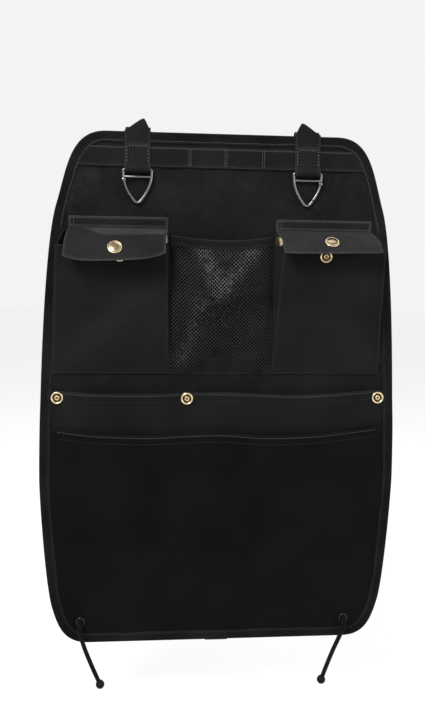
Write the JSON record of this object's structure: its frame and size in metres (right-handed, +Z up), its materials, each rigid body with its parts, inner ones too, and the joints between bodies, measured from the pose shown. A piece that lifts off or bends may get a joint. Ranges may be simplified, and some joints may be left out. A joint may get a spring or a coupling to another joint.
{
  "type": "car seat back organizer",
  "caption": "Bound cloth panel hung on the back of a car seat, with snapped flap pockets, a mesh pocket, a low row pocket, a tall lower pocket, gated hooks and elastic cords.",
  "frame": {"origin": "middle of the panel's flat back face", "axes": "+Z up along the panel, +Y into the seat back that the panel lies on, -Y out through the pockets, +X to the right as seen from the front"},
  "size_m": [0.42, 0.0728, 0.6751],
  "materials": {
    "canvas": "matt woven cloth",
    "tape": "ribbed tape",
    "webbing": "woven webbing",
    "mesh": "open net",
    "brass": "polished",
    "gunmetal": "dark plated, glossy",
    "steel": "blackened, satin",
    "elastic": "braided cord",
    "plastic": "moulded, satin"
  },
  "bodies": {
    "organizer": {"back_panel": "canvas", "pocket_front_left": "canvas", "pocket_front_right": "canvas", "flap_left": "canvas", "flap_right": "canvas", "inner_gusset_left": "canvas", "inner_gusset_right": "canvas", "outer_gusset_left": "canvas", "outer_gusset_right": "canvas", "row_pocket": "canvas", "lower_pocket": "canvas", "edge_binding": "tape", "flap_bar_left": "tape", "flap_bar_right": "tape", "mesh_hem": "tape", "top_band": "webbing", "headrest_strap_left": "webbing", "headrest_strap_right": "webbing", "hook_loop_left": "webbing", "hook_loop_right": "webbing", "mesh_pocket": "mesh", "pocket_stud_left": "brass", "pocket_stud_right": "brass", "pocket_stud_back_left": "brass", "pocket_stud_back_right": "brass", "flap_cap_left": "brass", "flap_cap_right": "brass", "flap_socket_left": "brass", "flap_socket_right": "brass", "gusset_cap_left": "brass", "gusset_cap_right": "brass", "gusset_socket_left": "brass", "gusset_socket_right": "brass", "row_snap_left": "brass", "row_snap_middle": "brass", "row_snap_right": "brass", "eyelet_left": "steel", "eyelet_right": "steel", "cord_left": "elastic", "cord_right": "elastic", "cord_hook_left": "plastic", "cord_hook_right": "plastic"},
    "hook_left": {"hook_left": "gunmetal", "gate_pin_left": "gunmetal"},
    "gate_left": {"gate_left": "gunmetal"},
    "hook_right": {"hook_right": "gunmetal", "gate_pin_right": "gunmetal"},
    "gate_right": {"gate_right": "gunmetal"}
  },
  "joints": [
    {"name": "hook_swing_left", "type": "hinge", "parent": "organizer", "child": "hook_left", "pos_m": [-0.097, -0.0063, 0.2565], "axis": [-1, 0, 0], "range_deg": [0, 110]},
    {"name": "gate_left", "type": "hinge", "parent": "hook_left", "child": "gate_left", "pos_m": [-0.11219, -0.0063, 0.24496], "axis": [0, -1, 0], "range_deg": [0, 28], "stiffness_Nm_per_rad": 0.002, "springref_deg": -11.46},
    {"name": "hook_swing_right", "type": "hinge", "parent": "organizer", "child": "hook_right", "pos_m": [0.097, -0.0063, 0.2565], "axis": [-1, 0, 0], "range_deg": [0, 110]},
    {"name": "gate_right", "type": "hinge", "parent": "hook_right", "child": "gate_right", "pos_m": [0.11219, -0.0063, 0.24496], "axis": [0, 1, 0], "range_deg": [0, 28], "stiffness_Nm_per_rad": 0.002, "springref_deg": -11.46}
  ]
}
